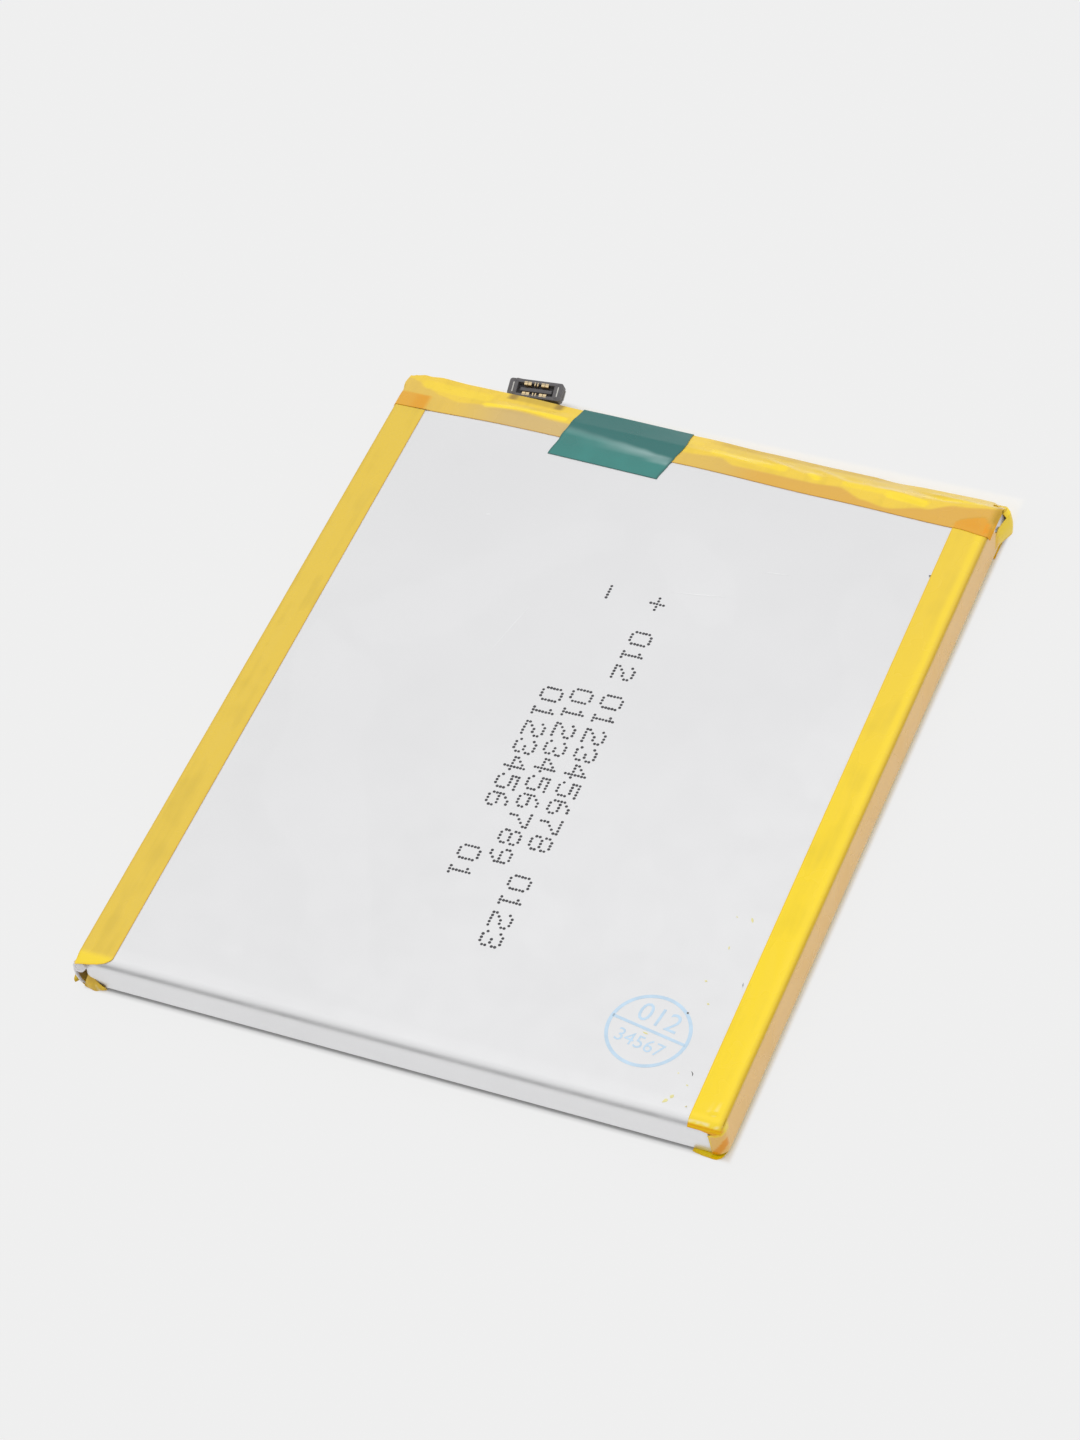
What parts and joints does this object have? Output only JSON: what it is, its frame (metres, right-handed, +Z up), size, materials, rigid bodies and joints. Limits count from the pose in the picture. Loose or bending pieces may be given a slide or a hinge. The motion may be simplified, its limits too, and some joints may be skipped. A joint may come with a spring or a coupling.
{
  "type": "pouch battery cell",
  "caption": "Flat lithium-polymer pouch cell with a wound electrode roll, folded taped side seals, a protection board under end tape and a board-to-board connector on a short flex tail.",
  "frame": {"origin": "on the adhesive face of the underside, midway across the cell and 40 mm behind its front fold", "axes": "+X across the cell to the right, +Y along the cell towards the connector, +Z up from the adhesive face to the drawn face"},
  "size_m": [0.0656, 0.0833, 0.0043],
  "materials": {
    "pouch_film": "satin nylon-faced laminate",
    "anode_coating": "matt graphite on copper foil",
    "cathode_coating": "matt oxide on aluminium foil",
    "separator_film": "white porous film",
    "tab_aluminium": "bare strip",
    "tab_nickel": "bare nickel strip",
    "sealant_film": "milky polypropylene",
    "amber_tape": "amber polyimide tape",
    "green_tape": "green polyester tape",
    "pad_foam": "white insulating pad",
    "board_laminate": "green solder mask on laminate",
    "chip_plastic": "black moulding compound",
    "chip_ceramic": "tan chip ceramic",
    "flex_film": "dark cover film on polyimide",
    "stiffener_laminate": "dark laminate plate",
    "housing_plastic": "black liquid-crystal polymer",
    "contact_gold": "gold-plated copper alloy",
    "clip_tin": "tin-plated copper alloy"
  },
  "bodies": {
    "cell": {"pouch_cup": "pouch_film", "pouch_cover": "pouch_film", "anode_strip": "anode_coating", "cathode_strip": "cathode_coating", "separator_inner": "separator_film", "separator_outer": "separator_film", "roll_end_tape": "green_tape", "positive_tab": "tab_aluminium", "negative_tab": "tab_nickel", "positive_tab_sealant": "sealant_film", "negative_tab_sealant": "sealant_film", "tab_guard_tapes": "amber_tape", "terrace_pad": "pad_foam", "weld_plates": "tab_nickel", "protection_board": "board_laminate", "protection_ic": "chip_plastic", "mosfet": "chip_plastic", "chip_fuse": "chip_ceramic", "thermistor": "chip_ceramic", "chip_resistors": "chip_plastic", "chip_capacitors": "chip_ceramic", "flex_circuit": "flex_film", "left_edge_tape": "amber_tape", "right_edge_tape": "amber_tape", "end_tape": "amber_tape", "green_tape": "green_tape"},
    "connector_tail": {"flex_stiffener": "stiffener_laminate", "connector_housing": "housing_plastic", "power_contacts": "contact_gold", "signal_contacts": "contact_gold", "hold_down_clips": "clip_tin"}
  },
  "joints": [
    {"name": "flex_bend", "type": "hinge", "parent": "cell", "child": "connector_tail", "pos_m": [-0.0196, 0.04004, 0.00144], "axis": [1, 0, 0], "range_deg": [-40, 26], "stiffness_Nm_per_rad": 0.001, "deforming": ["flex_circuit"]}
  ]
}
